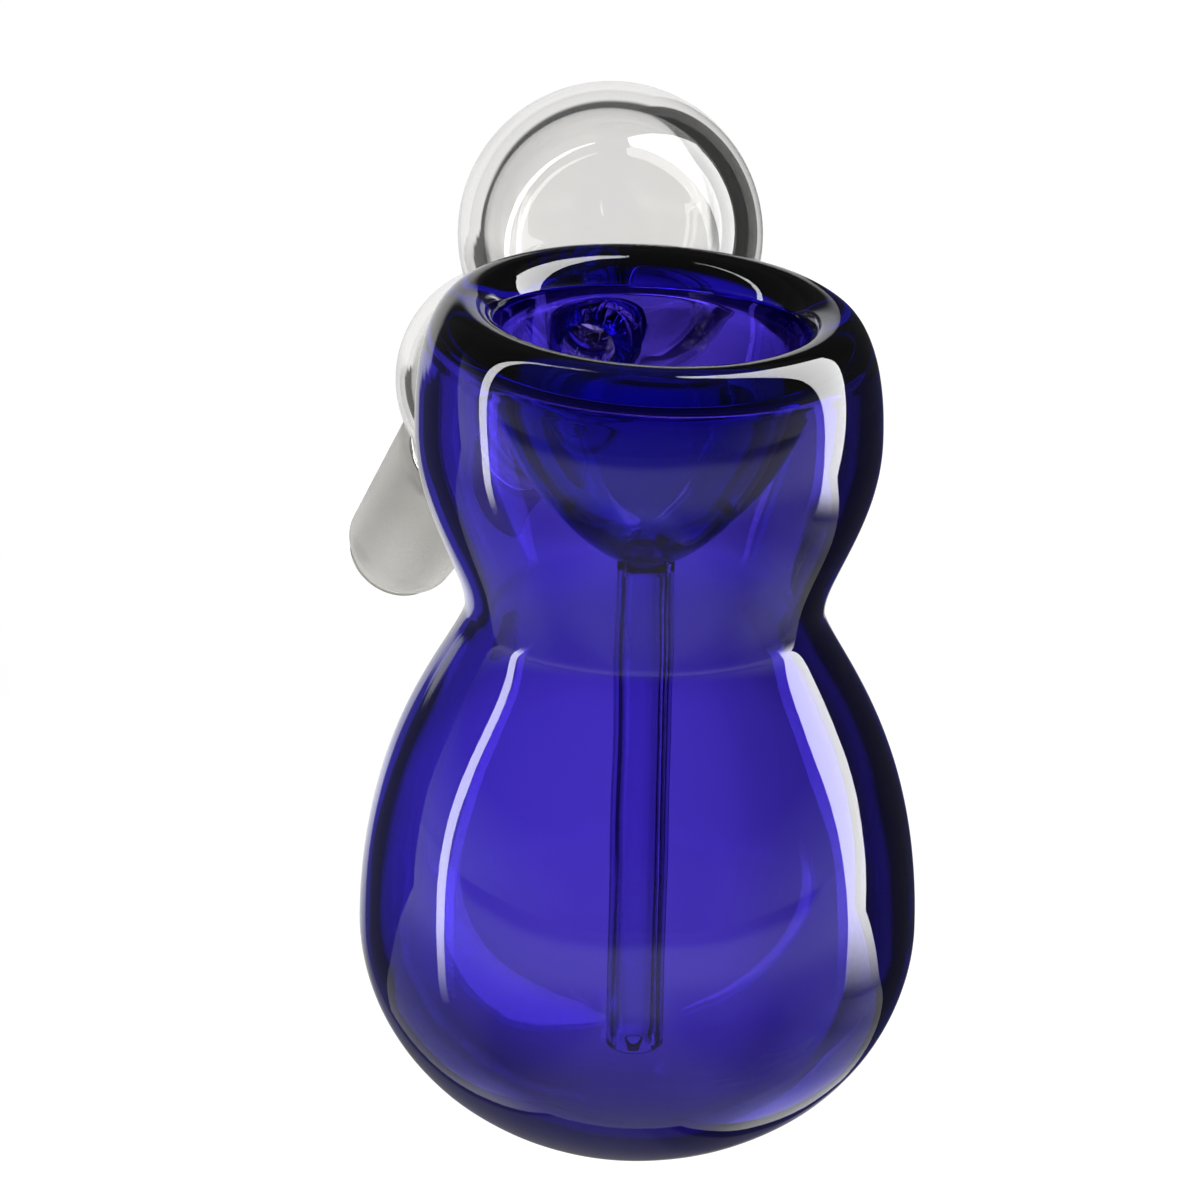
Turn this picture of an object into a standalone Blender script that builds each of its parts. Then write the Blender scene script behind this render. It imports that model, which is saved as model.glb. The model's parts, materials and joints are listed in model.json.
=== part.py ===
"""A hand-blown glass bubbler bowl, modelled in metres with +Z up.

A blue hourglass vessel holds the water. A funnel hangs in its mouth from a thick rolled lip, and a downtube
runs from the funnel to just above the floor. A short collar joins the back of the upper bulb to a clear
hollow ball, and a clear arm slopes down from the ball, through a second bulb, to a frosted ground joint.

The origin is on the axis of the ground joint at its wide end, where the joint seats in its socket. +Z is the
vessel's axis, upwards, and +Y points from the vessel towards the joint's side. Every glass section is a body
of revolution, turned about its own +Z from a closed outline of (radius, height) points.
"""

import math

import bmesh
import bpy
from mathutils import Matrix, Vector
from mathutils.geometry import interpolate_bezier

GAP = 0.0003  # between sections that are fused on the real object
NUDGE = 1e-5  # points closer than this are one point
VESSEL_STEPS = 40  # facets round the vessel
ARM_STEPS = 32  # facets round the arm
TUBE_STEPS = 20  # facets round the downtube
FILLET_STEPS = 3

# The vessel, with heights above its floor.
BULB_RADIUS = 0.0277
BULB_HEIGHT = 0.0236  # of its widest ring
WAIST_RADIUS = 0.0177
WAIST_HEIGHT = 0.0566
SHOULDER_RADIUS = 0.0229  # widest ring of the upper bulb
SHOULDER_HEIGHT = 0.0750
VESSEL_WALL = 0.0022
ELLIPSE_HANDLE = 0.5523  # length of a Bezier handle that makes a quarter ellipse, as a share of its radius

# The rolled lip and the funnel in the mouth.
LIP_RING_RADIUS = 0.0182  # to the middle of the roll
LIP_ROLL = 0.0035  # radius of the roll
LIP_HEIGHT = 0.0844  # of the middle of the roll
LIP_BASE = 0.0827  # the flat underside, where the wall and the funnel meet the roll
THROAT_HEIGHT = 0.0618  # where the funnel ends in the downtube
FUNNEL_WALL = 0.0019

# The downtube.
TUBE_RADIUS = 0.0029
TUBE_BORE = 0.0020
TUBE_END = 0.0094

# The arm, with distances up its axis from the wide end of the ground joint.
ARM_SLOPE = math.radians(45)  # below the horizontal, towards the joint
ARM_TURN = math.radians(25)  # left of +Y
ARM_WALL = 0.0016
BALL_RADIUS = 0.0155
BALL_WALL = 0.0027
BALL_DISTANCE = 0.0500
LOBE_RADIUS = 0.0123
LOBE_DISTANCE = 0.0170
NECK_RADIUS = 0.0060
STEM_RADIUS = 0.0062
WELD_FILLET = 0.0022  # radius of the hollow curve where a ball meets a neck
BALL_FROM_VESSEL = Vector((-0.0042, 0.0380, 0.0824))  # the ball's centre from the middle of the vessel's floor

# The 14.5 mm ground joint: a 1 in 10 taper.
JOINT_WIDE_RADIUS = 0.00725
JOINT_LENGTH = 0.0230
JOINT_TAPER = 0.05  # radius lost for each metre of length
JOINT_BORE = 0.0047
TIP_LENGTH = 0.0020

# The port in the back of the upper bulb.
PORT_FROM_VESSEL = Vector((-0.0063, 0.0219, 0.0774))
PORT_RADIUS = 0.0029
COLLAR_RADIUS = 0.0042
COLLAR_INSIDE_VESSEL = 0.0028  # how far the collar reaches back from the port's outer edge
COLLAR_INSIDE_BALL = 0.0035  # how far it reaches past the front of the ball

ARM_AXIS = Vector(
    (
        math.sin(ARM_TURN) * math.cos(ARM_SLOPE),
        -math.cos(ARM_TURN) * math.cos(ARM_SLOPE),
        math.sin(ARM_SLOPE),
    )
)  # from the joint up to the ball
BALL_CENTRE = ARM_AXIS * BALL_DISTANCE
VESSEL_FLOOR = BALL_CENTRE - BALL_FROM_VESSEL
PORT_CENTRE = VESSEL_FLOOR + PORT_FROM_VESSEL
PORT_AXIS = (BALL_CENTRE - PORT_CENTRE).normalized()


def clear_scene():
    for thing in list(bpy.data.objects):
        bpy.data.objects.remove(thing, do_unlink=True)


def glass(name, colour, roughness):
    """A glass material of one colour."""
    material = bpy.data.materials.new(name)
    material.use_nodes = True
    shader = material.node_tree.nodes["Principled BSDF"]
    shader.inputs["Base Color"].default_value = (*colour, 1)
    shader.inputs["Roughness"].default_value = roughness
    shader.inputs["Metallic"].default_value = 0
    shader.inputs["IOR"].default_value = 1.47
    shader.inputs["Transmission Weight"].default_value = 1
    return material


def axis_frame(origin, direction):
    """The matrix of a frame at origin whose +Z runs along direction."""
    return Matrix.Translation(origin) @ direction.to_track_quat("Z", "Y").to_matrix().to_4x4()


def turned(name, outline, steps, material, frame=None, parent=None):
    """A closed body turned about +Z from an outline of (radius, height) points in order around it."""
    mesh = bpy.data.meshes.new(name)
    body = bmesh.new()
    ring = [body.verts.new((radius, 0, height)) for radius, height in outline]
    for one, other in zip(ring, ring[1:] + ring[:1]):
        if one.co.x > NUDGE or other.co.x > NUDGE:
            body.edges.new((one, other))
    bmesh.ops.spin(
        body,
        geom=body.verts[:] + body.edges[:],
        cent=(0, 0, 0),
        axis=(0, 0, 1),
        angle=math.tau,
        steps=steps,
        use_merge=True,
    )
    bmesh.ops.remove_doubles(body, verts=body.verts[:], dist=NUDGE)
    bmesh.ops.recalc_face_normals(body, faces=body.faces[:])
    body.to_mesh(mesh)
    body.free()
    mesh.shade_smooth()
    mesh.set_sharp_from_angle(angle=math.radians(40))
    mesh.materials.append(material)
    piece = bpy.data.objects.new(name, mesh)
    bpy.context.scene.collection.objects.link(piece)
    if frame is not None:
        piece.matrix_world = frame
    if parent is not None:
        piece.parent = parent
    return piece


def bezier(start, first_handle, second_handle, end, steps):
    """Points along one Bezier curve between two (radius, height) points."""
    corners = [Vector((*point, 0)) for point in (start, first_handle, second_handle, end)]
    return [(point.x, point.y) for point in interpolate_bezier(*corners, steps)]


def arc(centre, radius, start, end, steps):
    """Points along an arc, with angles in radians from the +radius direction."""
    return [
        (
            centre[0] + radius * math.cos(start + (end - start) * step / steps),
            centre[1] + radius * math.sin(start + (end - start) * step / steps),
        )
        for step in range(steps + 1)
    ]


def inset(curve, depth):
    """The curve moved by depth to its left, which is inwards on one that climbs an outer wall."""
    moved = []
    for index, (radius, height) in enumerate(curve):
        before = curve[max(index - 1, 0)]
        after = curve[min(index + 1, len(curve) - 1)]
        along = Vector((after[0] - before[0], after[1] - before[1])).normalized()
        moved.append((radius - along.y * depth, height + along.x * depth))
    return moved


def point_at(curve, height):
    """Where a curve whose heights rise or fall steadily crosses a height."""
    for low, high in zip(curve, curve[1:]):
        if min(low[1], high[1]) <= height <= max(low[1], high[1]) and low[1] != high[1]:
            share = (height - low[1]) / (high[1] - low[1])
            return (low[0] + (high[0] - low[0]) * share, height)
    raise ValueError(f"the curve never reaches {height}")


def stretch(curve, low, high):
    """The part of a curve between two heights, with a point exactly at each."""
    inside = [point for point in curve if low + NUDGE < point[1] < high - NUDGE]
    ends = [point_at(curve, low), point_at(curve, high)]
    if curve[0][1] > curve[-1][1]:
        ends.reverse()
    return [ends[0], *inside, ends[1]]


def vessel_wall():
    """The outside of the vessel, climbing from the middle of its floor to the lip."""
    floor = bezier(
        (0, 0),
        (BULB_RADIUS * ELLIPSE_HANDLE, 0),
        (BULB_RADIUS, BULB_HEIGHT * (1 - ELLIPSE_HANDLE)),
        (BULB_RADIUS, BULB_HEIGHT),
        9,
    )
    bulb_shoulder = bezier(
        (BULB_RADIUS, BULB_HEIGHT),
        (BULB_RADIUS, BULB_HEIGHT + 0.0205),
        (WAIST_RADIUS, WAIST_HEIGHT - 0.0040),
        (WAIST_RADIUS, WAIST_HEIGHT),
        9,
    )
    flare = bezier(
        (WAIST_RADIUS, WAIST_HEIGHT),
        (WAIST_RADIUS, WAIST_HEIGHT + 0.0045),
        (SHOULDER_RADIUS, SHOULDER_HEIGHT - 0.0085),
        (SHOULDER_RADIUS, SHOULDER_HEIGHT),
        7,
    )
    lip_side = LIP_RING_RADIUS + LIP_ROLL
    upper = bezier(
        (SHOULDER_RADIUS, SHOULDER_HEIGHT),
        (SHOULDER_RADIUS, SHOULDER_HEIGHT + 0.0040),
        (lip_side, LIP_HEIGHT - 0.0020),
        (lip_side, LIP_HEIGHT),
        4,
    )
    return floor + bulb_shoulder[1:] + flare[1:] + upper[1:]


def funnel_inside():
    """The inside of the funnel, falling from the lip to its throat."""
    mouth = LIP_RING_RADIUS - LIP_ROLL
    return bezier(
        (mouth, LIP_HEIGHT),
        (mouth, LIP_HEIGHT - 0.0075),
        (0.0078, THROAT_HEIGHT + 0.0042),
        (0.0022, THROAT_HEIGHT + 0.0019),
        9,
    )


def build_vessel(blue):
    vessel = bpy.data.objects.new("vessel_axis", None)
    vessel.location = VESSEL_FLOOR
    bpy.context.scene.collection.objects.link(vessel)

    outside = vessel_wall()
    inside = inset(outside, VESSEL_WALL)
    inside[0] = (0, inside[0][1])
    waist = WAIST_HEIGHT - GAP / 2
    turned(
        "lower_bulb",
        stretch(outside, 0, waist) + stretch(inside, VESSEL_WALL, waist)[::-1],
        VESSEL_STEPS,
        blue,
        parent=vessel,
    )
    wall_low, wall_high = WAIST_HEIGHT + GAP / 2, LIP_BASE - GAP
    upper_bulb = turned(
        "upper_bulb",
        stretch(outside, wall_low, wall_high) + stretch(inside, wall_low, wall_high)[::-1],
        VESSEL_STEPS,
        blue,
        parent=vessel,
    )
    lip_inner, lip_outer = LIP_RING_RADIUS - LIP_ROLL, LIP_RING_RADIUS + LIP_ROLL
    turned(
        "mouth_lip",
        [(lip_inner, LIP_BASE), (lip_outer, LIP_BASE)]
        + arc((LIP_RING_RADIUS, LIP_HEIGHT), LIP_ROLL, 0, math.pi, 8),
        VESSEL_STEPS,
        blue,
        parent=vessel,
    )
    bowl = funnel_inside()
    bowl_back = [point for point in inset(bowl[::-1], -FUNNEL_WALL) if point[0] > TUBE_RADIUS]
    turned(
        "funnel_bowl",
        [(TUBE_BORE, THROAT_HEIGHT), (TUBE_RADIUS, THROAT_HEIGHT)]
        + stretch(bowl_back, bowl_back[0][1], wall_high)
        + stretch(bowl, bowl[-1][1], wall_high)
        + [(TUBE_BORE, THROAT_HEIGHT + 0.0010)],
        VESSEL_STEPS,
        blue,
        parent=vessel,
    )
    tube_top = THROAT_HEIGHT - GAP
    turned(
        "downtube",
        [
            (TUBE_BORE, TUBE_END),
            (TUBE_RADIUS, TUBE_END),
            (TUBE_RADIUS, tube_top),
            (TUBE_BORE, tube_top),
        ],
        TUBE_STEPS,
        blue,
        parent=vessel,
    )
    return upper_bulb


def necked(ball_radius, neck_radius, fillet):
    """Where a ball and its neck meet a hollow fillet: its centre along the axis and the angle it covers."""
    reach = ball_radius + fillet
    across = neck_radius + fillet
    return math.sqrt(reach**2 - across**2), math.asin(across / reach)


def ball_outline(centre, radius, neck_below, neck_above, fillet, steps):
    """The outside of a ball on the arm's axis, from the neck under it to the neck or the pole above it."""
    low_reach, low_angle = necked(radius, neck_below, fillet)
    curve = arc(
        (neck_below + fillet, centre - low_reach),
        fillet,
        math.pi,
        math.pi / 2 + low_angle,
        FILLET_STEPS,
    )
    start = low_angle - math.pi / 2
    if neck_above is None:
        return curve + arc((0, centre), radius, start, math.pi / 2, steps)[1:]
    high_reach, high_angle = necked(radius, neck_above, fillet)
    curve += arc((0, centre), radius, start, math.pi / 2 - high_angle, steps)[1:]
    return (
        curve
        + arc(
            (neck_above + fillet, centre + high_reach),
            fillet,
            -math.pi / 2 - high_angle,
            -math.pi,
            FILLET_STEPS,
        )[1:]
    )


def build_arm(clear, frosted):
    frame = axis_frame(Vector((0, 0, 0)), ARM_AXIS)

    def shell(centre, radius, wall, below, above, steps):
        """The outside of a ball with its inside, both from low to high and with feet at one height."""
        cavity, bore = radius - wall, below - ARM_WALL
        inner_above = None if above is None else above - ARM_WALL
        rise, _ = necked(radius, below, WELD_FILLET)
        inner_fillet = (rise**2 / (cavity - bore) - cavity - bore) / 2
        return (
            ball_outline(centre, radius, below, above, WELD_FILLET, steps),
            ball_outline(centre, cavity, bore, inner_above, inner_fillet, steps),
        )

    outside, inside = shell(BALL_DISTANCE, BALL_RADIUS, BALL_WALL, NECK_RADIUS, None, 12)
    ball = turned("arm_ball", outside + inside[::-1], ARM_STEPS, clear, frame)
    ball_foot = outside[0][1]

    outside, inside = shell(LOBE_DISTANCE, LOBE_RADIUS, ARM_WALL, STEM_RADIUS, NECK_RADIUS, 9)
    turned("arm_lobe", outside + inside[::-1], ARM_STEPS, clear, frame)
    lobe_foot, lobe_head = outside[0][1], outside[-1][1]

    tube = (
        ("arm_neck", NECK_RADIUS, lobe_head + GAP, ball_foot - GAP),
        ("joint_stem", STEM_RADIUS, GAP, lobe_foot - GAP),
    )
    for name, radius, low, high in tube:
        bore = radius - ARM_WALL
        outline = [(bore, low), (radius, low), (radius, high), (bore, high)]
        turned(name, outline, ARM_STEPS, clear, frame)

    small_radius = JOINT_WIDE_RADIUS - JOINT_TAPER * JOINT_LENGTH
    turned(
        "ground_joint",
        [
            (JOINT_BORE, -JOINT_LENGTH),
            (small_radius, -JOINT_LENGTH),
            (JOINT_WIDE_RADIUS, 0),
            (JOINT_BORE, 0),
        ],
        ARM_STEPS,
        frosted,
        frame,
    )
    tip_top = -JOINT_LENGTH - GAP
    tip_end = tip_top - TIP_LENGTH
    round_off = TIP_LENGTH / 4
    turned(
        "joint_tip",
        [
            (JOINT_BORE, tip_end),
            (small_radius - 2 * round_off, tip_end),
            (small_radius - round_off, tip_end + round_off),
            (small_radius - round_off, tip_top),
            (JOINT_BORE, tip_top),
        ],
        ARM_STEPS,
        clear,
        frame,
    )
    return ball


def build_port(blue, upper_bulb, ball):
    """The collar through the back of the upper bulb and the front of the ball, and the holes for it."""
    frame = axis_frame(PORT_CENTRE, PORT_AXIS)
    ball_front = (BALL_CENTRE - PORT_CENTRE).length - BALL_RADIUS
    low, high = -COLLAR_INSIDE_VESSEL, ball_front + COLLAR_INSIDE_BALL
    turned(
        "port_collar",
        [(PORT_RADIUS, low), (COLLAR_RADIUS, low), (COLLAR_RADIUS, high), (PORT_RADIUS, high)],
        ARM_STEPS,
        blue,
        frame,
    )
    hole = COLLAR_RADIUS + GAP
    reach = 0.0060  # past both walls
    cutter = turned(
        "port_cutter",
        [(0, low - reach), (hole, low - reach), (hole, high + reach), (0, high + reach)],
        ARM_STEPS,
        blue,
        frame,
    )
    cutter.hide_render = True
    cutter.display_type = "WIRE"
    for shell in (upper_bulb, ball):
        cut = shell.modifiers.new("port", "BOOLEAN")
        cut.operation = "DIFFERENCE"
        cut.object = cutter


def main():
    clear_scene()
    blue = glass("blue_glass", (0.03, 0.02, 0.52), 0.02)
    clear = glass("clear_glass", (0.93, 0.95, 0.95), 0.02)
    frosted = glass("frosted_glass", (0.90, 0.92, 0.92), 0.45)
    upper_bulb = build_vessel(blue)
    ball = build_arm(clear, frosted)
    build_port(blue, upper_bulb, ball)


main()
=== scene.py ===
"""The looks of the blown-glass bubbler bowl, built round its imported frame.

The blue vessel, its funnel and its lip are one fused body, so one closed mesh stands for them. The clear
arm is another, and the ground joint and the downtube are pieces of their own. Lengths are in metres.
"""

import json
import math

import bmesh
import bpy
import numpy as np
from mathutils import Matrix, Vector, noise
from mathutils.geometry import interpolate_bezier


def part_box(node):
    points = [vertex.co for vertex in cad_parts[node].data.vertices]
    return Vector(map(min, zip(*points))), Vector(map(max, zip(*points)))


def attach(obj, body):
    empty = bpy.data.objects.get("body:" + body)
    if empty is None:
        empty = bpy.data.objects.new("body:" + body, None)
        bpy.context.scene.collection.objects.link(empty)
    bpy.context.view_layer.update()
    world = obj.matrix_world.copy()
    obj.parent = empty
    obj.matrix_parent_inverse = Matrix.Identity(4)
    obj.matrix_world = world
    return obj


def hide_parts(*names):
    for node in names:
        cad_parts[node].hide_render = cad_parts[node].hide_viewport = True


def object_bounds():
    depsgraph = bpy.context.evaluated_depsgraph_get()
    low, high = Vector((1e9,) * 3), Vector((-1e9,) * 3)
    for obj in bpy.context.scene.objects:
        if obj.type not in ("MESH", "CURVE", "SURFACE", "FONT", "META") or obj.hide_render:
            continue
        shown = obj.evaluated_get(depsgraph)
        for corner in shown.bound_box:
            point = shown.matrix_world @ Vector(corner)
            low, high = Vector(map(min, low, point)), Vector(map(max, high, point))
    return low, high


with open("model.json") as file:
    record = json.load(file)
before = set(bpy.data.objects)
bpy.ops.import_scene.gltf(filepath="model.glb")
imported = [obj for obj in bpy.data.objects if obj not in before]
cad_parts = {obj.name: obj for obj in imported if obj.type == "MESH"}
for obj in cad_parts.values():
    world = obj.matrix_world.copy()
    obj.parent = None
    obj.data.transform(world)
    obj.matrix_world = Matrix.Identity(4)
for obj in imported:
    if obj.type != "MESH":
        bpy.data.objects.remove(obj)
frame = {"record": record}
cad_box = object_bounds()

# The vessel, with heights above its floor.
BULB_RADIUS = 0.0277
BULB_HEIGHT = 0.0236
WAIST_RADIUS = 0.0177
WAIST_HEIGHT = 0.0566
SHOULDER_RADIUS = 0.0229
SHOULDER_HEIGHT = 0.0750
VESSEL_WALL = 0.0022
ELLIPSE_HANDLE = 0.5523  # a Bezier handle that makes a quarter ellipse, as a share of its radius
LIP_RING_RADIUS = 0.0182
LIP_ROLL = 0.0035
LIP_HEIGHT = 0.0844
THROAT_HEIGHT = 0.0618
FUNNEL_WALL = 0.0019
TUBE_RADIUS = 0.0029
TUBE_BORE = 0.0020
TUBE_END = 0.0094

# The arm, with distances up its axis from the wide end of the ground joint.
ARM_WALL = 0.0016
BALL_RADIUS = 0.0155
BALL_WALL = 0.0027
BALL_DISTANCE = 0.0500
LOBE_RADIUS = 0.0123
LOBE_DISTANCE = 0.0170
NECK_RADIUS = 0.0060
STEM_RADIUS = 0.0062
WELD_FILLET = 0.0022
JOINT_WIDE_RADIUS = 0.00725
JOINT_LENGTH = 0.0230
JOINT_TAPER = 0.05
JOINT_BORE = 0.0047
TIP_LENGTH = 0.0020
PORT_FROM_VESSEL = Vector((-0.0063, 0.0219, 0.0774))
BALL_FROM_VESSEL = Vector((-0.0042, 0.0380, 0.0824))
PORT_RADIUS = 0.0029
SEAM = 0.00003  # between the pieces that are fused on the real object

# Facets round each turned body.
VESSEL_STEPS = 144
ARM_STEPS = 112
TUBE_STEPS = 48
WELD_STEPS = 64

GLASS_IOR = 1.47
BLUE_TINT = (0.96, 0.95, 0.99)
BLUE_DEEP = (0.26, 0.10, 0.82)
CLEAR_DEEP = (0.80, 0.80, 0.79)
CLEAR_DENSITY = 60

# The view and the stage.
VIEW_ELEVATION = math.radians(21)
VIEW_ROLL = math.radians(1.3)
VIEW_DISTANCE = 0.80
VIEW_WIDTH = 0.1164  # at the vessel
FLOOR_DROP = 0.30  # from the bottom of the vessel
FLOOR_REACH = 6.0
BACKDROP_DISTANCE = 0.16
STRIP_DISTANCE = 0.45
STRIP_HEIGHT = 2.5
STRIP_RADIANCE = 11

seat = next(m for m in frame["record"]["mounts"] if m["name"] == "ground_joint_seat")
JOINT_SEAT = Vector(seat["pos_m"])
ARM_AXIS = -Vector(seat["axis"]).normalized()
bulb_low, bulb_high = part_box("lower_bulb")
VESSEL_FLOOR = Vector(
    ((bulb_low[0] + bulb_high[0]) / 2, (bulb_low[1] + bulb_high[1]) / 2, bulb_low[2])
)
VIEW_TARGET = VESSEL_FLOOR + Vector((-0.0044, -0.0091, 0.0607))


# Outlines: (radius, height) points, with the glass on the left as they run.


def bezier(start, first_handle, second_handle, end, steps):
    corners = [Vector((*point, 0)) for point in (start, first_handle, second_handle, end)]
    return [(point.x, point.y) for point in interpolate_bezier(*corners, steps)]


def arc(centre, radius, start, end, steps):
    angles = [start + (end - start) * step / steps for step in range(steps + 1)]
    return [
        (centre[0] + radius * math.cos(angle), centre[1] + radius * math.sin(angle))
        for angle in angles
    ]


def inset(curve, depth):
    """The curve moved by depth to its left."""
    moved = []
    for index, (radius, height) in enumerate(curve):
        before = curve[max(index - 1, 0)]
        after = curve[min(index + 1, len(curve) - 1)]
        along = Vector((after[0] - before[0], after[1] - before[1])).normalized()
        moved.append((radius - along.y * depth, height + along.x * depth))
    return moved


def vessel_outside():
    """The outside of the vessel, climbing from the middle of its floor to the top of the lip."""
    floor = bezier(
        (0, 0),
        (BULB_RADIUS * ELLIPSE_HANDLE, 0),
        (BULB_RADIUS, BULB_HEIGHT * (1 - ELLIPSE_HANDLE)),
        (BULB_RADIUS, BULB_HEIGHT),
        40,
    )
    bulb_shoulder = bezier(
        (BULB_RADIUS, BULB_HEIGHT),
        (BULB_RADIUS, BULB_HEIGHT + 0.0205),
        (WAIST_RADIUS, WAIST_HEIGHT - 0.0040),
        (WAIST_RADIUS, WAIST_HEIGHT),
        40,
    )
    flare = bezier(
        (WAIST_RADIUS, WAIST_HEIGHT),
        (WAIST_RADIUS, WAIST_HEIGHT + 0.0045),
        (SHOULDER_RADIUS, SHOULDER_HEIGHT - 0.0085),
        (SHOULDER_RADIUS, SHOULDER_HEIGHT),
        28,
    )
    upper = bezier(
        (SHOULDER_RADIUS, SHOULDER_HEIGHT),
        (SHOULDER_RADIUS, SHOULDER_HEIGHT + 0.0078),
        (LIP_RING_RADIUS + 0.0029, LIP_HEIGHT + LIP_ROLL),
        (LIP_RING_RADIUS, LIP_HEIGHT + LIP_ROLL),
        36,
    )
    return floor + bulb_shoulder[1:] + flare[1:] + upper[1:]


def funnel_inside():
    """The inside of the funnel, falling from the lip to its throat."""
    mouth = LIP_RING_RADIUS - LIP_ROLL
    return bezier(
        (mouth, LIP_HEIGHT),
        (mouth, LIP_HEIGHT - 0.0075),
        (0.0078, THROAT_HEIGHT + 0.0042),
        (0.0022, THROAT_HEIGHT + 0.0019),
        36,
    )


def vessel_outline():
    """The vessel's whole section: up the outside, over the lip, down the funnel and back inside."""
    outside = vessel_outside()
    lip = arc((LIP_RING_RADIUS, LIP_HEIGHT), LIP_ROLL, math.pi / 2, math.pi, 18)
    bowl = funnel_inside()
    throat = bezier(
        bowl[-1],
        (TUBE_BORE, THROAT_HEIGHT + 0.0016),
        (TUBE_BORE, THROAT_HEIGHT + 0.0010),
        (TUBE_BORE, THROAT_HEIGHT),
        8,
    )
    groove_top = LIP_HEIGHT - 0.0004
    inside = inset(outside, VESSEL_WALL)
    inside[0] = (0, inside[0][1])
    wall_top = [point for point in inside if point[1] < groove_top - 0.0016][-1]
    back = [
        point
        for point in inset(bowl, FUNNEL_WALL)[::-1]
        if point[0] > TUBE_RADIUS + 0.0002 and point[1] < groove_top - 0.0014
    ]
    groove = bezier(
        back[-1],
        (back[-1][0] + 0.0003, groove_top + 0.0004),
        (wall_top[0], groove_top + 0.0004),
        wall_top,
        18,
    )
    inner_wall = [point for point in inside if point[1] <= wall_top[1]][::-1]
    return (
        outside
        + lip[1:]
        + bowl[1:]
        + throat[1:]
        + [(TUBE_RADIUS, THROAT_HEIGHT)]
        + back
        + groove[1:-1]
        + inner_wall
    )


def necked(ball_radius, neck_radius, fillet):
    """Where a ball and its neck meet a fillet: its centre along the axis and the angle it covers."""
    reach = ball_radius + fillet
    across = neck_radius + fillet
    return math.sqrt(reach**2 - across**2), math.asin(across / reach)


def ball_outline(centre, radius, neck_below, neck_above, fillet, steps):
    """A ball on the arm's axis, from the neck under it to the neck or the pole above it."""
    quarter, fillet_steps = math.pi / 2, 10
    low_reach, low_angle = necked(radius, neck_below, fillet)
    low_centre = (neck_below + fillet, centre - low_reach)
    curve = arc(low_centre, fillet, math.pi, quarter + low_angle, fillet_steps)
    start = low_angle - quarter
    if neck_above is None:
        return curve + arc((0, centre), radius, start, quarter, steps)[1:]
    high_reach, high_angle = necked(radius, neck_above, fillet)
    high_centre = (neck_above + fillet, centre + high_reach)
    curve += arc((0, centre), radius, start, quarter - high_angle, steps)[1:]
    return curve + arc(high_centre, fillet, -quarter - high_angle, -math.pi, fillet_steps)[1:]


def hollow(centre, radius, wall, below, above, steps):
    """The outside of a ball with its inside, both from low to high and with feet at one height."""
    cavity, bore = radius - wall, below - ARM_WALL
    inner_above = None if above is None else above - ARM_WALL
    rise, _ = necked(radius, below, WELD_FILLET)
    inner_fillet = (rise**2 / (cavity - bore) - cavity - bore) / 2
    return (
        ball_outline(centre, radius, below, above, WELD_FILLET, steps),
        ball_outline(centre, cavity, bore, inner_above, inner_fillet, steps),
    )


def arm_outline():
    """The stem, the second bulb, the neck and the ball, up the outside and back down the inside."""
    outside = [(STEM_RADIUS, height) for height in np.linspace(SEAM, 0.0035, 8)]
    inside = [(radius - ARM_WALL, height) for radius, height in outside]
    for ball in (
        (LOBE_DISTANCE, LOBE_RADIUS, ARM_WALL, STEM_RADIUS, NECK_RADIUS, 48),
        (BALL_DISTANCE, BALL_RADIUS, BALL_WALL, NECK_RADIUS, None, 90),
    ):
        outer, inner = hollow(*ball)
        outside += outer
        inside += inner
    return outside + inside[::-1]


def joint_outline():
    """The ground taper and its fire-polished tip."""
    small = JOINT_WIDE_RADIUS - JOINT_TAPER * JOINT_LENGTH
    end = -JOINT_LENGTH - TIP_LENGTH
    tip_round = 0.0007
    foot = arc((JOINT_BORE + tip_round, end + tip_round), tip_round, -math.pi, -math.pi / 2, 6)
    foot += arc((small - 2 * tip_round, end + tip_round), tip_round, -math.pi / 2, 0, 6)
    band = [
        (JOINT_WIDE_RADIUS + JOINT_TAPER * height, height)
        for height in np.linspace(-JOINT_LENGTH, -0.0006, 24)
    ]
    head = [(JOINT_WIDE_RADIUS - 0.0004, -0.0002), (JOINT_WIDE_RADIUS - 0.0009, 0)]
    bore = [(JOINT_BORE, height) for height in np.linspace(0, end + tip_round, 12)]
    return foot + [(small - tip_round, -JOINT_LENGTH - 0.0004)] + band + head + bore[:-1]


def tube_outline():
    """The downtube, with both ends fire-polished."""
    top = THROAT_HEIGHT - SEAM
    edge = 0.0003
    return [
        (TUBE_BORE, TUBE_END + edge),
        (TUBE_BORE + edge, TUBE_END),
        (TUBE_RADIUS - edge, TUBE_END),
        (TUBE_RADIUS, TUBE_END + edge),
        *[(TUBE_RADIUS, height) for height in np.linspace(TUBE_END + 0.002, top, 40)],
        *[(TUBE_BORE, height) for height in np.linspace(top, TUBE_END + 0.002, 40)],
    ]


def weld_outline(grown=0.0):
    """The port's flared weld: distance from its axis, and along it from the vessel's surface."""
    waist = 0.0043 + grown
    skirt = waist + 0.0013
    start, end = -0.0030 - grown, 0.0050 + grown
    outside = [(PORT_RADIUS + 0.0005, start), (waist + 0.0002, start + 0.0004)]
    outside += bezier((skirt, -0.0009), (waist, -0.0002), (waist, 0.0018), (skirt, 0.0027), 14)
    outside += [(waist + 0.0002, end - 0.0004), (PORT_RADIUS + 0.0005, end)]
    if grown:
        return [(0, start)] + outside + [(0, end)]
    bore = [(PORT_RADIUS, height) for height in np.linspace(end - 0.0005, start + 0.0005, 8)]
    return outside + bore


# Making meshes.


def axis_frame(origin, direction):
    return Matrix.Translation(origin) @ direction.to_track_quat("Z", "Y").to_matrix().to_4x4()


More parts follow.
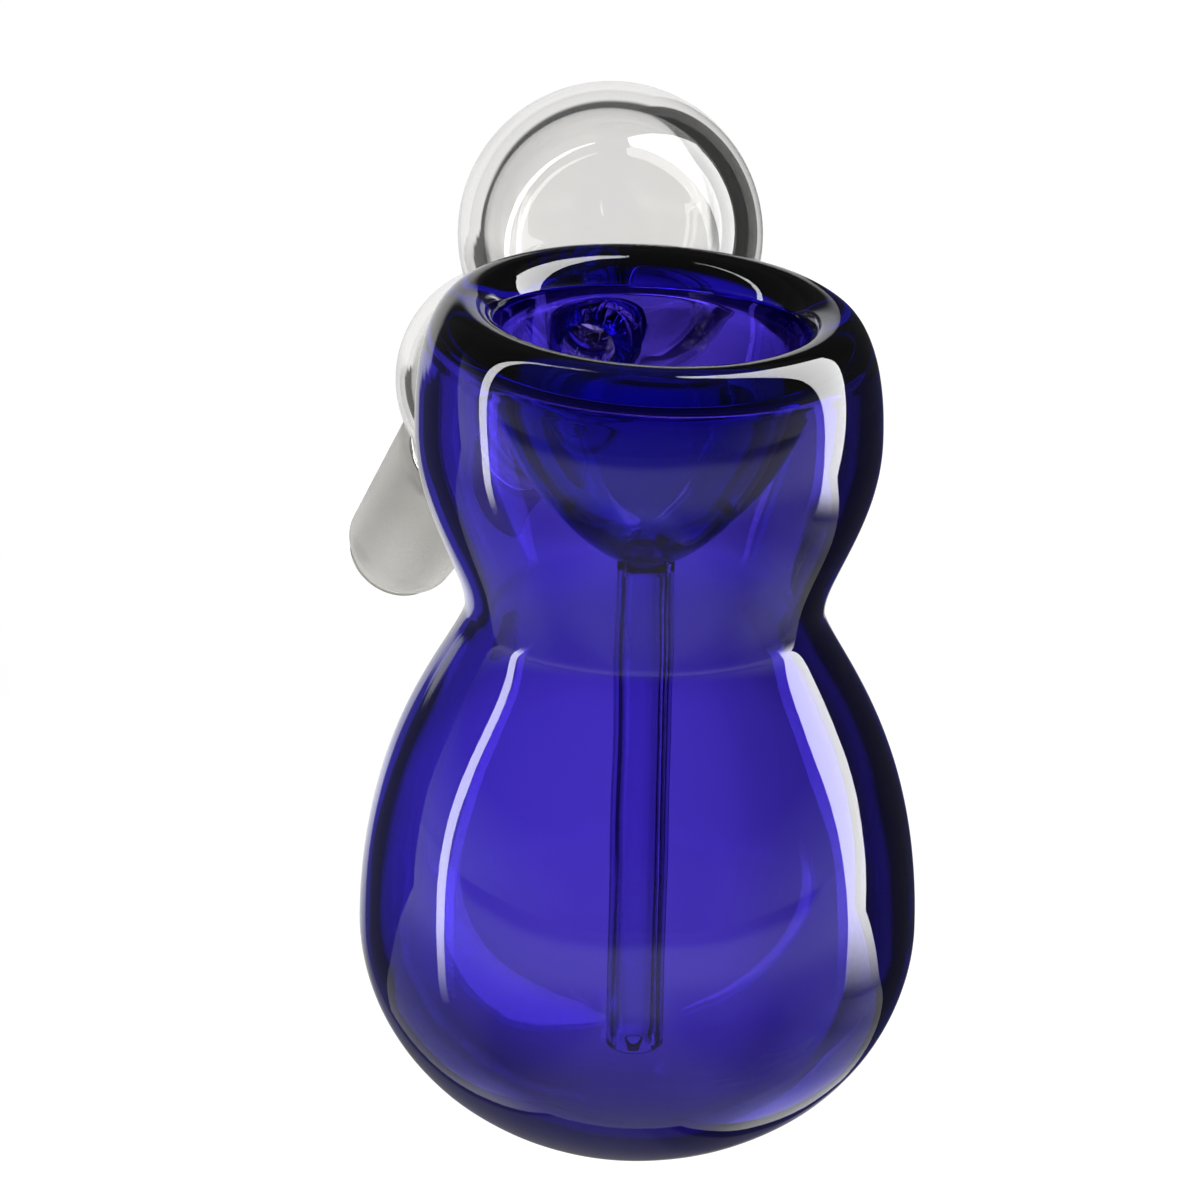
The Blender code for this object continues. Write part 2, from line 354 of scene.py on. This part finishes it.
def linked(name, body):
    """A new object in the scene, made of a finished body."""
    mesh = bpy.data.meshes.new(name)
    body.to_mesh(mesh)
    body.free()
    piece = bpy.data.objects.new(name, mesh)
    bpy.context.scene.collection.objects.link(piece)
    return piece


def turned(name, outline, steps, place, reshape=None):
    """A closed body turned about +Z from an outline, reshaped point by point and put in its place."""
    on_axis = 1e-7
    body = bmesh.new()
    rings = []
    for radius, height in outline:
        if radius < on_axis:
            rings.append([body.verts.new((0, 0, height))])
            continue
        ring = []
        for step in range(steps):
            turn = math.tau * step / steps
            ring.append(
                body.verts.new((radius * math.cos(turn), radius * math.sin(turn), height))
            )
        rings.append(ring)
    for low, high in zip(rings, rings[1:] + rings[:1]):
        if len(low) == 1 and len(high) == 1:
            continue
        for step in range(steps):
            after = (step + 1) % steps
            if len(low) == 1:
                body.faces.new((low[0], high[after], high[step]))
            elif len(high) == 1:
                body.faces.new((low[step], low[after], high[0]))
            else:
                body.faces.new((low[step], low[after], high[after], high[step]))
    if reshape is not None:
        for vertex in body.verts:
            vertex.co = reshape(vertex.co)
    body.transform(place)
    piece = linked(name, body)
    piece.data.shade_smooth()
    return piece


def shape(piece, cutter, operation):
    """Join the cutter to the piece, or take it out of the piece."""
    modifier = piece.modifiers.new(operation, "BOOLEAN")
    modifier.operation = operation
    modifier.object = cutter
    modifier.solver = "EXACT"
    bpy.context.view_layer.update()
    result = bpy.data.meshes.new_from_object(
        piece.evaluated_get(bpy.context.evaluated_depsgraph_get())
    )
    piece.modifiers.clear()
    spent = [piece.data, cutter.data]
    piece.data = result
    bpy.data.objects.remove(cutter)
    for mesh in spent:
        bpy.data.meshes.remove(mesh)


def eased(value, low, high):
    """0 below low, 1 above high, and a smooth step between them."""
    share = min(max((value - low) / (high - low), 0), 1)
    return share * share * (3 - 2 * share)


def hand_blown(point):
    """The vessel's irregularities: a lip that is not quite level and a wall that varies a little."""
    lip_tilt = math.tan(math.radians(2.0))
    lift = -point.x * lip_tilt * eased(point.z, 0.062, 0.084)
    radius = math.hypot(point.x, point.y)
    still_radius = 0.004  # the seat of the downtube stays round
    if radius <= still_radius:
        return Vector((point.x, point.y, point.z + lift))
    swell = 0.00018 * noise.noise(point * 55 + Vector((3, 7, 1)))
    swell += 0.00005 * noise.noise(Vector((point.x, point.y, point.z * 0.6)) * 170)
    grown = 1 + swell / radius
    return Vector((point.x * grown, point.y * grown, point.z + lift))


# Materials.


def shader_node(tree, kind, **values):
    node = tree.nodes.new(kind)
    for name, value in values.items():
        setattr(node, name, value)
    return node


def new_material(name):
    """A new material, with its node tree and its shader."""
    material = bpy.data.materials.new(name)
    material.use_nodes = True
    return material, material.node_tree, material.node_tree.nodes["Principled BSDF"]


def glass(name, tint, deep, density):
    """Glass that goes towards the deep colour the more of it light passes through."""
    material, tree, shader = new_material(name)
    shader.inputs["Base Color"].default_value = (*tint, 1)
    shader.inputs["Roughness"].default_value = 0
    shader.inputs["IOR"].default_value = GLASS_IOR
    shader.inputs["Transmission Weight"].default_value = 1
    volume = shader_node(tree, "ShaderNodeVolumeAbsorption")
    volume.inputs["Color"].default_value = (*deep, 1)
    volume.inputs["Density"].default_value = density
    output = tree.nodes["Material Output"]
    tree.links.new(volume.outputs["Volume"], output.inputs["Volume"])
    return material


def polished_glass(name, tint, deep, density):
    """Fire-polished glass, with a slightly uneven surface."""
    material = glass(name, tint, deep, density)
    tree = material.node_tree
    where = shader_node(tree, "ShaderNodeTexCoord")
    ripple = shader_node(tree, "ShaderNodeTexNoise")
    ripple.inputs["Scale"].default_value = 120
    ripple.inputs["Detail"].default_value = 1
    bump = shader_node(tree, "ShaderNodeBump")
    bump.inputs["Strength"].default_value = 0.02
    bump.inputs["Distance"].default_value = 0.001
    tree.links.new(where.outputs["Object"], ripple.inputs["Vector"])
    tree.links.new(ripple.outputs["Fac"], bump.inputs["Height"])
    tree.links.new(bump.outputs["Normal"], tree.nodes["Principled BSDF"].inputs["Normal"])
    return material


def ground_glass(name, tint, deep, density):
    """Glass ground matt on the joint's taper, with a fine grain and faint rings, and clear in its bore."""
    material = glass(name, tint, deep, density)
    tree = material.node_tree
    shader = tree.nodes["Principled BSDF"]
    where = shader_node(tree, "ShaderNodeTexCoord")
    grain = shader_node(tree, "ShaderNodeTexNoise")
    grain.inputs["Scale"].default_value = 2600
    grain.inputs["Detail"].default_value = 2
    along = shader_node(tree, "ShaderNodeVectorMath", operation="DOT_PRODUCT")
    along.inputs[1].default_value = ARM_AXIS
    rings = shader_node(tree, "ShaderNodeTexNoise", noise_dimensions="1D")
    rings.inputs["Scale"].default_value = 1500
    rings.inputs["Detail"].default_value = 3
    both = shader_node(tree, "ShaderNodeMath", operation="MULTIPLY_ADD")
    both.inputs[1].default_value = 0.6
    bump = shader_node(tree, "ShaderNodeBump")
    bump.inputs["Strength"].default_value = 0.35
    bump.inputs["Distance"].default_value = 0.0001
    # Roughness follows the distance from the joint's axis, so the outside is matt and the bore clear.
    from_seat = shader_node(tree, "ShaderNodeVectorMath", operation="SUBTRACT")
    from_seat.inputs[1].default_value = JOINT_SEAT
    crossed = shader_node(tree, "ShaderNodeVectorMath", operation="CROSS_PRODUCT")
    crossed.inputs[1].default_value = ARM_AXIS
    radius = shader_node(tree, "ShaderNodeVectorMath", operation="LENGTH")
    matt = shader_node(tree, "ShaderNodeMapRange")
    matt.inputs["From Min"].default_value = JOINT_BORE + 0.0003
    matt.inputs["From Max"].default_value = JOINT_BORE + 0.0009
    matt.inputs["To Min"].default_value = 0.04
    matt.inputs["To Max"].default_value = 0.52
    for start, end in (
        (where.outputs["Object"], grain.inputs["Vector"]),
        (where.outputs["Object"], from_seat.inputs[0]),
        (from_seat.outputs["Vector"], along.inputs[0]),
        (from_seat.outputs["Vector"], crossed.inputs[0]),
        (crossed.outputs["Vector"], radius.inputs[0]),
        (along.outputs["Value"], rings.inputs["W"]),
        (rings.outputs["Fac"], both.inputs[0]),
        (grain.outputs["Fac"], both.inputs[2]),
        (both.outputs["Value"], bump.inputs["Height"]),
        (radius.outputs["Value"], matt.inputs["Value"]),
        (matt.outputs["Result"], shader.inputs["Roughness"]),
        (bump.outputs["Normal"], shader.inputs["Normal"]),
    ):
        tree.links.new(start, end)
    return material


# The object.


def build_object():
    """The four pieces of glass, with their materials and the nodes that each stands for."""
    blue = polished_glass("blue_glass", BLUE_TINT, BLUE_DEEP, 850)
    tube_blue = polished_glass("blue_tube_glass", BLUE_TINT, BLUE_DEEP, 200)
    clear = polished_glass("clear_glass", (0.93, 0.925, 0.915), CLEAR_DEEP, CLEAR_DENSITY)
    frosted = ground_glass("frosted_glass", (0.84, 0.825, 0.79), CLEAR_DEEP, CLEAR_DENSITY)

    upright = Matrix.Translation(VESSEL_FLOOR)
    arm = axis_frame(JOINT_SEAT, ARM_AXIS)
    vessel = turned("blue_vessel", vessel_outline(), VESSEL_STEPS, upright, hand_blown)
    tube = turned("blue_downtube", tube_outline(), TUBE_STEPS, upright)
    bulbs = turned("clear_arm", arm_outline(), ARM_STEPS, arm)
    joint = turned("frosted_joint", joint_outline(), ARM_STEPS, arm)
    port_axis = (BALL_FROM_VESSEL - PORT_FROM_VESSEL).normalized()
    port = axis_frame(VESSEL_FLOOR + PORT_FROM_VESSEL, port_axis)
    drill = [(0, -0.005), (PORT_RADIUS, -0.005), (PORT_RADIUS, 0.007), (0, 0.007)]
    shape(vessel, turned("weld", weld_outline(), WELD_STEPS, port), "UNION")
    shape(vessel, turned("drill", drill, WELD_STEPS, port), "DIFFERENCE")
    shape(bulbs, turned("weld_seat", weld_outline(SEAM), WELD_STEPS, port), "DIFFERENCE")
    vessel_nodes = ("lower_bulb", "upper_bulb", "mouth_lip", "funnel_bowl", "port_collar")
    looks = (
        (vessel, blue, "blue_glass", vessel_nodes),
        (tube, tube_blue, "blue_glass", ("downtube",)),
        (bulbs, clear, "clear_glass", ("arm_ball", "arm_neck", "arm_lobe", "joint_stem")),
        (joint, frosted, "frosted_glass", ("ground_joint", "joint_tip")),
    )
    for piece, material, slot, nodes in looks:
        piece.data.materials.append(material)
        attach(piece, "root")
        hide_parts(*nodes)


# The stage.


def paper(name, shade):
    """Matt grey paper that glows by its mesh's own glow attribute, as lit paper does."""
    material, tree, shader = new_material(name)
    shader.inputs["Base Color"].default_value = (shade, shade, shade, 1)
    shader.inputs["Roughness"].default_value = 1
    shader.inputs["Specular IOR Level"].default_value = 0
    shader.inputs["Emission Color"].default_value = (1, 1, 1, 1)
    glow = shader_node(tree, "ShaderNodeAttribute", attribute_name="glow")
    tree.links.new(glow.outputs["Fac"], shader.inputs["Emission Strength"])
    return material


def view_back():
    """The direction from what is looked at to the camera."""
    return Vector((0, -math.cos(VIEW_ELEVATION), math.sin(VIEW_ELEVATION)))


def facing_view():
    """A turn that sets a sheet or the camera square to the view, with +Z towards the camera."""
    return (-view_back()).to_track_quat("-Z", "Y").to_matrix().to_4x4()


def staged(name, body, shade, seen):
    """A lit sheet of the stage. What the camera doesn't see still shows in the glass."""
    sheet = linked(name, body)
    sheet.visible_camera = seen
    sheet.visible_shadow = seen
    sheet.data.materials.append(paper(name + "_paper", shade))
    return sheet


def floor_glow(x, y):
    """How bright the floor is at a place measured from under the vessel, with +y behind it.

    Its glow carries painted shade close in front, so the glass mirrors little there, and is painted dimmer
    beside and far ahead.
    """
    reach = math.hypot(x, y)
    sweep = 0.80 + 0.22 * eased(y, -0.6, 0.5) * (1 - 0.6 * eased(reach, 1.7, 2.6))
    # painted shade in front of the part, then painted dimming beside it and far ahead
    shaded = 1 - eased(y + 0.77 * abs(x), 0.08, 0.26)
    shaded *= 1 - eased(reach, 0.70, 0.95)
    beside = eased(abs(x), 0.12, 0.26) * (1 - eased(reach, 0.85, 1.40))
    ahead = eased(-y, 0.6, 1.2) * eased(reach, 2.2, 3.6)
    return sweep * (1 - 0.62 * shaded) * (1 - 0.68 * beside) * (1 - 0.75 * ahead)


def build_floor():
    """A pale floor under the part, as a disc with rings of points that carry its glow."""
    steps = 96
    body = bmesh.new()
    glow = body.verts.layers.float.new("glow")
    rings = []
    for radius in np.geomspace(0.01, FLOOR_REACH, 90):
        ring = []
        for step in range(steps):
            turn = math.tau * step / steps
            x, y = radius * math.cos(turn), radius * math.sin(turn)
            vertex = body.verts.new((x, y, 0))
            vertex[glow] = floor_glow(x, y)
            ring.append(vertex)
        rings.append(ring)
    body.faces.new(rings[0])
    for inner, outer in zip(rings, rings[1:]):
        for step in range(steps):
            after = (step + 1) % steps
            body.faces.new((inner[step], outer[step], outer[after], inner[after]))
    floor = staged("floor", body, 0.15, True)
    floor.location = (VESSEL_FLOOR.x, VESSEL_FLOOR.y, cad_box[0][2] - FLOOR_DROP)


def backdrop_glow(x, height):
    """How bright the backdrop is, across from the middle of the view and up it."""
    fall = 1.12 - 0.18 * eased(x, -0.006, 0.018) - 0.30 * eased(x, 0.016, 0.030)
    upper = eased(height, 0.025, 0.045)
    open_part = fall * (1 - upper) + 0.97 * upper
    reach_across = 0.085 if x > 0 else 0.15
    reach = math.hypot(x / reach_across, max(height - 0.04, 0) / 0.125)
    open_part *= 1 - 0.95 * eased(reach, 0.95, 1.20)
    open_part *= 1 - 0.30 * eased(height, -0.012, 0.004) * (1 - eased(height, 0.028, 0.040))
    open_part *= 1 - 0.85 * eased(-height - 0.35 * x, 0.028, 0.092)
    left_edge = -0.085 - 0.065 * upper
    left = 1 - eased(x, left_edge - 0.004, left_edge + 0.004)
    right_edge = 0.048 - 0.012 * upper
    right = eased(x, right_edge - 0.002, right_edge + 0.002)
    return open_part * (1 - left) * (1 - right) + 0.07 * left + 0.02 * right


def build_backdrop():
    """A sheet of paper behind the part, square to the view and seen only through the glass.

    Its sides are dark, so they draw the edges of the glass dark, as black cards beside a lit sheet do.
    """
    left_part = np.arange(-0.160, -0.1001, 0.005)
    middle_part = np.arange(-0.098, 0.0701, 0.002)
    across = [-0.50, -0.30, *left_part, *middle_part, 0.15, 0.30, 0.50]
    up = [-0.40, -0.25, *np.arange(-0.130, 0.2001, 0.005), 0.30, 0.40]
    body = bmesh.new()
    glow = body.verts.layers.float.new("glow")
    grid = []
    for height in up:
        row = []
        for x in across:
            vertex = body.verts.new((x, height, 0))
            vertex[glow] = backdrop_glow(x, height)
            row.append(vertex)
        grid.append(row)
    for low, high in zip(grid, grid[1:]):
        for side in range(len(across) - 1):
            corners = (low[side], low[side + 1], high[side + 1], high[side])
            middle = sum((corner.co for corner in corners), Vector()) / 4
            beside = middle.x < -0.100 or middle.x > 0.062
            if beside and middle.y < -0.085:
                continue  # the lit floor shows past these corners
            body.faces.new(corners)
    place = Matrix.Translation(VIEW_TARGET - view_back() * BACKDROP_DISTANCE)
    body.transform(place @ facing_view())
    backdrop = staged("backdrop", body, 0.02, False)
    backdrop.visible_diffuse = False


def build_world():
    """Soft surroundings, pale at the horizon and darker overhead and in front of the part."""
    world = bpy.data.worlds.new("studio")
    world.use_nodes = True
    tree = world.node_tree
    where = shader_node(tree, "ShaderNodeTexCoord")
    parts = shader_node(tree, "ShaderNodeSeparateXYZ")
    ramp = shader_node(tree, "ShaderNodeValToRGB")
    low, high = ramp.color_ramp.elements
    low.position, low.color = 0.0, (0.72, 0.72, 0.72, 1)
    high.position, high.color = 0.25, (0.10, 0.10, 0.10, 1)
    tree.links.new(where.outputs["Generated"], parts.inputs["Vector"])
    tree.links.new(parts.outputs["Z"], ramp.inputs["Fac"])
    tree.links.new(ramp.outputs["Color"], tree.nodes["Background"].inputs["Color"])
    front = shader_node(tree, "ShaderNodeMapRange")
    front.inputs["From Min"].default_value = -0.9
    front.inputs["From Max"].default_value = -0.2
    front.inputs["To Min"].default_value = 0.2
    tree.links.new(parts.outputs["Y"], front.inputs["Value"])
    tree.links.new(front.outputs["Result"], tree.nodes["Background"].inputs["Strength"])
    bpy.context.scene.world = world


def strip_light(name, azimuth, width, lean=0):
    """A tall soft box facing the vessel, fading out at its foot.

    Azimuth is from the front, to the right. A strip that leans turns about its middle.
    """
    body = bmesh.new()
    glow = body.verts.layers.float.new("glow")
    pairs = []
    for height in (*np.linspace(-0.20, -0.04, 17), 0.5, 1.2, STRIP_HEIGHT):
        pair = [body.verts.new((side * width / 2, height, 0)) for side in (-1, 1)]
        for vertex in pair:
            vertex[glow] = STRIP_RADIANCE * eased(height, -0.19, -0.05)
        pairs.append(pair)
    for low, high in zip(pairs, pairs[1:]):
        body.faces.new((low[0], low[1], high[1], high[0]))
    turn = math.radians(azimuth)
    beside = STRIP_DISTANCE * Vector((math.sin(turn), -math.cos(turn), 0))
    upright = (-beside).to_track_quat("-Z", "Y").to_matrix().to_4x4()
    middle = Matrix.Translation((0, 1.2, 0))
    leaning = middle @ Matrix.Rotation(math.radians(lean), 4, "Z") @ middle.inverted()
    body.transform(Matrix.Translation(VESSEL_FLOOR + beside) @ upright @ leaning)
    staged(name, body, 0.9, False)


def build_camera():
    """A long lens at the height and side that the part is looked at from."""
    data = bpy.data.cameras.new("camera")
    data.sensor_width = 36
    data.lens = data.sensor_width * VIEW_DISTANCE / VIEW_WIDTH
    data.clip_start = 0.01
    camera = bpy.data.objects.new("camera", data)
    place = Matrix.Translation(VIEW_TARGET + view_back() * VIEW_DISTANCE)
    camera.matrix_world = place @ facing_view() @ Matrix.Rotation(VIEW_ROLL, 4, "Z")
    bpy.context.scene.collection.objects.link(camera)
    bpy.context.scene.camera = camera


def set_quality():
    """Enough bounces for light to pass through all the walls of glass."""
    scene = bpy.context.scene
    scene.view_settings.view_transform = "Standard"
    cycles = scene.cycles
    cycles.max_bounces = 32
    cycles.transmission_bounces = 28
    cycles.glossy_bounces = 12
    cycles.diffuse_bounces = 3
    cycles.sample_clamp_indirect = 4
    cycles.use_denoising = True


build_object()
build_floor()
build_backdrop()
build_world()
strip_light("left_strip", -94, 0.040, lean=3)
strip_light("right_strip", 112, 0.31)
build_camera()
set_quality()
